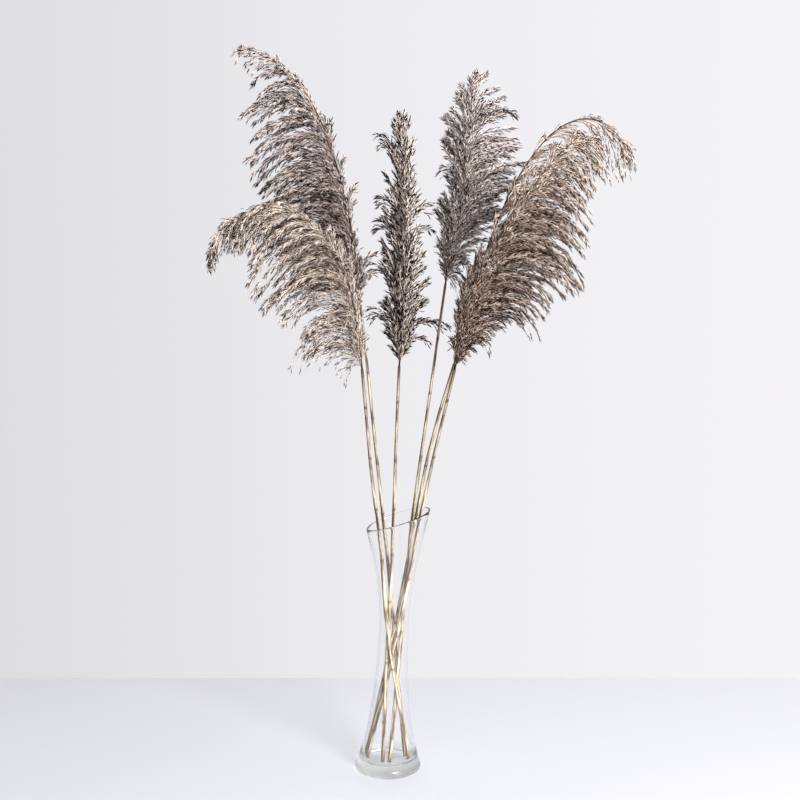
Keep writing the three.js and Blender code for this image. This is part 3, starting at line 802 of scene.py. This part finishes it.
def glass_material():
    material, tree, shader = new_material("clear vase glass")
    nodes, links = tree.nodes, tree.links
    shader.inputs["Transmission Weight"].default_value = 1.0
    shader.inputs["IOR"].default_value = 1.47
    # the thick foot is a little cloudy and grey, the blown wall above it clear
    height = spread_over(tree, place_along(tree, "Z"), (0.010, 0.030))
    tint = ramp(tree, height, [(0.0, (0.62, 0.63, 0.61)), (1.0, (0.995, 1.0, 1.0))])
    links.new(spread_over(tree, height, (0, 1), (0.22, 0.0)), shader.inputs["Roughness"])
    # painted shade: seen edge on, the wall is painted a little grey
    edge = nodes.new("ShaderNodeLayerWeight")
    edge.inputs["Blend"].default_value = 0.5
    painted_edge_shade = spread_over(tree, edge.outputs["Facing"], (0.55, 1.0))
    links.new(mixed(tree, painted_edge_shade, tint, (0.74, 0.76, 0.79), "MULTIPLY"), shader.inputs["Base Color"])
    # lamps shine through it
    clear = nodes.new("ShaderNodeBsdfTransparent")
    rays = nodes.new("ShaderNodeLightPath")
    mix = nodes.new("ShaderNodeMixShader")
    links.new(rays.outputs["Is Shadow Ray"], mix.inputs["Fac"])
    links.new(shader.outputs["BSDF"], mix.inputs[1])
    links.new(clear.outputs["BSDF"], mix.inputs[2])
    links.new(mix.outputs["Shader"], nodes["Material Output"].inputs["Surface"])
    return material


def streaks(tree, uv, stretch, shift, scale, detail):
    """Noise on a stem's own map, longer than wide."""
    place = tree.nodes.new("ShaderNodeMapping")
    place.inputs["Scale"].default_value = stretch
    place.inputs["Location"].default_value = shift
    noise = tree.nodes.new("ShaderNodeTexNoise")
    noise.inputs["Scale"].default_value = scale
    noise.inputs["Detail"].default_value = detail
    tree.links.new(uv, place.inputs["Vector"])
    tree.links.new(place.outputs["Vector"], noise.inputs["Vector"])
    return noise.outputs["Fac"]


def straw_material():
    material, tree, shader = new_material("dry straw stem")
    nodes, links = tree.nodes, tree.links
    coords = nodes.new("ShaderNodeUVMap")
    coords.uv_map = "UVMap"
    uv = coords.outputs["UV"]
    grain = streaks(tree, uv, stretch=(2.2, 9, 1), shift=(0, 0, 0), scale=2.2, detail=4)
    straw = ramp(tree, grain, [
        (0.40, (0.055, 0.030, 0.018)), (0.47, (0.26, 0.195, 0.125)), (0.58, (0.60, 0.51, 0.36))])
    # dark where the mesh says so, at the nodes, the foot and the top, and as painted shade down the left
    # side; and in stains here and there
    shade = nodes.new("ShaderNodeAttribute")
    shade.attribute_name = "stem_darkness_and_painted_shade"
    dark = with_number(tree, "MULTIPLY", shade.outputs["Fac"], 0.9)
    stain = streaks(tree, uv, stretch=(1.6, 24, 1), shift=(3.7, 1.3, 0), scale=1.5, detail=3)
    dark = added(tree, dark, spread_over(tree, stain, (0.58, 0.68), (0, 0.75)))
    links.new(mixed(tree, dark, straw, (0.09, 0.05, 0.027)), shader.inputs["Base Color"])
    bump = nodes.new("ShaderNodeBump")
    bump.inputs["Strength"].default_value = 0.3
    bump.inputs["Distance"].default_value = 0.0004
    links.new(grain, bump.inputs["Height"])
    links.new(bump.outputs["Normal"], shader.inputs["Normal"])
    shader.inputs["Roughness"].default_value = 0.5
    return material


def plume_palette():
    """Colours by place in a plume's palette: up it wood, seed and tuft, across it dark to light."""
    group = bpy.data.node_groups.new("plume palette", "ShaderNodeTree")
    sockets = group.interface
    for name in ("Wood Dark", "Wood Light", "Seed Dark", "Seed Light", "Tuft Dark", "Tuft Light"):
        sockets.new_socket(name, in_out="INPUT", socket_type="NodeSocketColor")
    sockets.new_socket("UV", in_out="INPUT", socket_type="NodeSocketVector")
    sockets.new_socket("Color", in_out="OUTPUT", socket_type="NodeSocketColor")
    start = group.nodes.new("NodeGroupInput")
    end = group.nodes.new("NodeGroupOutput")
    split = group.nodes.new("ShaderNodeSeparateXYZ")
    group.links.new(start.outputs["UV"], split.inputs[0])
    tone, height = split.outputs["X"], split.outputs["Y"]

    def band(name, factor):
        return mixed(group, factor, start.outputs[name + " Dark"], start.outputs[name + " Light"])

    def above(lower, upper):
        """1 above the middle of the gap between two bands, else 0."""
        return with_number(group, "GREATER_THAN", height, (lower[1] + upper[0]) / 2)

    # a seed is dark at its tip, and a tuft pale there
    wood = band("Wood", tone)
    seed = band("Seed", added(group, tone, spread_over(group, height, SEED_BAND, (0.15, -0.3))))
    tuft = band("Tuft", added(group, tone, spread_over(group, height, TUFT_BAND, (-0.3, 0.35))))
    lower = mixed(group, above(WOOD_BAND, SEED_BAND), wood, seed)
    colour = mixed(group, above(SEED_BAND, TUFT_BAND), lower, tuft)
    group.links.new(colour, end.inputs["Color"])
    return group


def plume_material(name, group, colours):
    material, tree, shader = new_material(name)
    coords = tree.nodes.new("ShaderNodeUVMap")
    coords.uv_map = "OFBake"
    palette = tree.nodes.new("ShaderNodeGroup")
    palette.node_tree = group
    for socket, colour in colours.items():
        palette.inputs[socket].default_value = (*colour, 1)
    tree.links.new(coords.outputs["UV"], palette.inputs["UV"])
    tree.links.new(palette.outputs["Color"], shader.inputs["Base Color"])
    shader.inputs["Roughness"].default_value = 0.7
    shader.inputs["Specular IOR Level"].default_value = 0.12
    return material


# The vase, the stems and the plumes

vase = make_vase()
vase.data.materials.append(glass_material())
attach(vase, "root")
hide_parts("glass_vase")

straw = straw_material()
palette = plume_palette()
looks = {
    "tall_left": plume_material("taupe plume", palette, {
        "Wood Dark": (0.040, 0.020, 0.013), "Wood Light": (0.32, 0.215, 0.155),
        "Seed Dark": (0.004, 0.002, 0.002), "Seed Light": (0.13, 0.075, 0.055),
        "Tuft Dark": (0.24, 0.155, 0.12), "Tuft Light": (1.0, 0.88, 0.82)}),
    "low_left": plume_material("straw taupe plume", palette, {
        "Wood Dark": (0.050, 0.028, 0.018), "Wood Light": (0.46, 0.35, 0.26),
        "Seed Dark": (0.005, 0.003, 0.002), "Seed Light": (0.15, 0.085, 0.055),
        "Tuft Dark": (0.44, 0.33, 0.255), "Tuft Light": (1.0, 0.865, 0.765)}),
    "centre": plume_material("warm grey plume", palette, {
        "Wood Dark": (0.035, 0.019, 0.012), "Wood Light": (0.36, 0.245, 0.15),
        "Seed Dark": (0.001, 0.0005, 0.0005), "Seed Light": (0.055, 0.033, 0.024),
        "Tuft Dark": (0.08, 0.05, 0.037), "Tuft Light": (1.0, 0.865, 0.775)}),
    "middle_right": plume_material("grey plume", palette, {
        "Wood Dark": (0.035, 0.021, 0.017), "Wood Light": (0.32, 0.24, 0.19),
        "Seed Dark": (0.003, 0.002, 0.002), "Seed Light": (0.09, 0.058, 0.048),
        "Tuft Dark": (0.17, 0.115, 0.092), "Tuft Light": (1.0, 0.885, 0.84)}),
    "front_right": plume_material("tan plume", palette, {
        "Wood Dark": (0.045, 0.021, 0.012), "Wood Light": (0.36, 0.23, 0.145),
        "Seed Dark": (0.005, 0.002, 0.001), "Seed Light": (0.16, 0.08, 0.05),
        "Tuft Dark": (0.16, 0.092, 0.062), "Tuft Light": (1.0, 0.825, 0.70)}),
    "back_right": plume_material("pale tan plume", palette, {
        "Wood Dark": (0.045, 0.022, 0.014), "Wood Light": (0.36, 0.235, 0.155),
        "Seed Dark": (0.005, 0.002, 0.001), "Seed Light": (0.16, 0.085, 0.055),
        "Tuft Dark": (0.21, 0.13, 0.092), "Tuft Light": (1.0, 0.85, 0.745)}),
}
for number, reed in enumerate(REEDS):
    stem = make_stem(reed)
    stem.data.materials.append(straw)
    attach(stem, "root")
    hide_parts("stem_" + reed["name"])
    plume = make_plume(reed, RANDOM_START + number)
    plume.data.materials.append(looks[reed["name"]])
    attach(plume, "root")
    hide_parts("plume_" + reed["name"])


# Floor, wall, light and camera

def floor_material():
    material, _, shader = new_material("pale floor")
    shader.inputs["Base Color"].default_value = (0.58, 0.58, 0.625, 1)
    shader.inputs["Roughness"].default_value = 0.6
    shader.inputs["Specular IOR Level"].default_value = 0.2
    return material


def wall_material():
    """An even pale glow, painted a little lighter to the right as if lit from there, that is clear from
    behind.
    """
    material, tree, _ = new_material("pale wall")
    nodes, links = tree.nodes, tree.links
    nodes.clear()
    # painted light: the glow is lighter to the right, where the light comes from
    shade = ramp(tree, spread_over(tree, place_along(tree, "X"), (-0.75, 0.75)), [
        (0.0, (0.72, 0.71, 0.735)), (0.5, (0.85, 0.84, 0.87)), (1.0, (0.92, 0.905, 0.93))])
    glow = nodes.new("ShaderNodeEmission")
    links.new(shade, glow.inputs["Color"])
    clear = nodes.new("ShaderNodeBsdfTransparent")
    facing = nodes.new("ShaderNodeNewGeometry")
    choose = nodes.new("ShaderNodeMixShader")
    out = nodes.new("ShaderNodeOutputMaterial")
    links.new(facing.outputs["Backfacing"], choose.inputs["Fac"])
    links.new(glow.outputs[0], choose.inputs[1])
    links.new(clear.outputs[0], choose.inputs[2])
    links.new(choose.outputs[0], out.inputs["Surface"])
    return material


def plane(name, half, place, turn, material):
    bm = bmesh.new()
    bmesh.ops.create_grid(bm, x_segments=1, y_segments=1, size=half)
    mesh = bpy.data.meshes.new(name)
    bm.to_mesh(mesh)
    bm.free()
    obj = linked(mesh)
    obj.location = place
    obj.rotation_euler = turn
    obj.data.materials.append(material)


def studio_light():
    """Soft light from all round, stronger from the right, and a plain pale grey behind."""
    world = bpy.data.worlds.new("studio")
    bpy.context.scene.world = world
    world.use_nodes = True
    tree = world.node_tree
    strength = spread_over(tree, place_along(tree, "X", "Generated"), (-1.0, 1.0), (0.4, 1.0))
    rays = tree.nodes.new("ShaderNodeLightPath")
    seen = tree.nodes.new("ShaderNodeMix")
    seen.inputs["B"].default_value = 0.83
    tree.links.new(rays.outputs["Is Camera Ray"], seen.inputs["Factor"])
    tree.links.new(strength, seen.inputs["A"])
    background = tree.nodes["Background"]
    background.inputs["Color"].default_value = (1, 1, 1, 1)
    tree.links.new(seen.outputs["Result"], background.inputs["Strength"])


def lamp(name, place, target, size, power):
    light = bpy.data.lights.new(name, "AREA")
    light.shape = "DISK"
    light.size = size
    light.energy = power
    obj = bpy.data.objects.new(name, light)
    obj.location = place
    obj.rotation_euler = (Vector(target) - Vector(place)).to_track_quat("-Z", "Y").to_euler()
    bpy.context.scene.collection.objects.link(obj)


plane("floor", half=6, place=(0, 0, -0.0005), turn=(0, 0, 0), material=floor_material())
plane("wall", half=6, place=(0, 0.43, 5.9), turn=(math.radians(90), 0, 0), material=wall_material())
studio_light()
lamp("key", place=(1.5, -2.4, 2.0), target=(0, 0, 0.6), size=1.6, power=165)

eye = bpy.data.cameras.new("camera")
eye.lens = LENS
eye.sensor_width = 36
camera = bpy.data.objects.new("camera", eye)
camera.location = EYE
camera.rotation_euler = (math.radians(90) - LOOK_DOWN, 0, 0)
bpy.context.scene.collection.objects.link(camera)
bpy.context.scene.camera = camera
bpy.context.scene.view_settings.view_transform = "Standard"

bpy.context.view_layer.update()
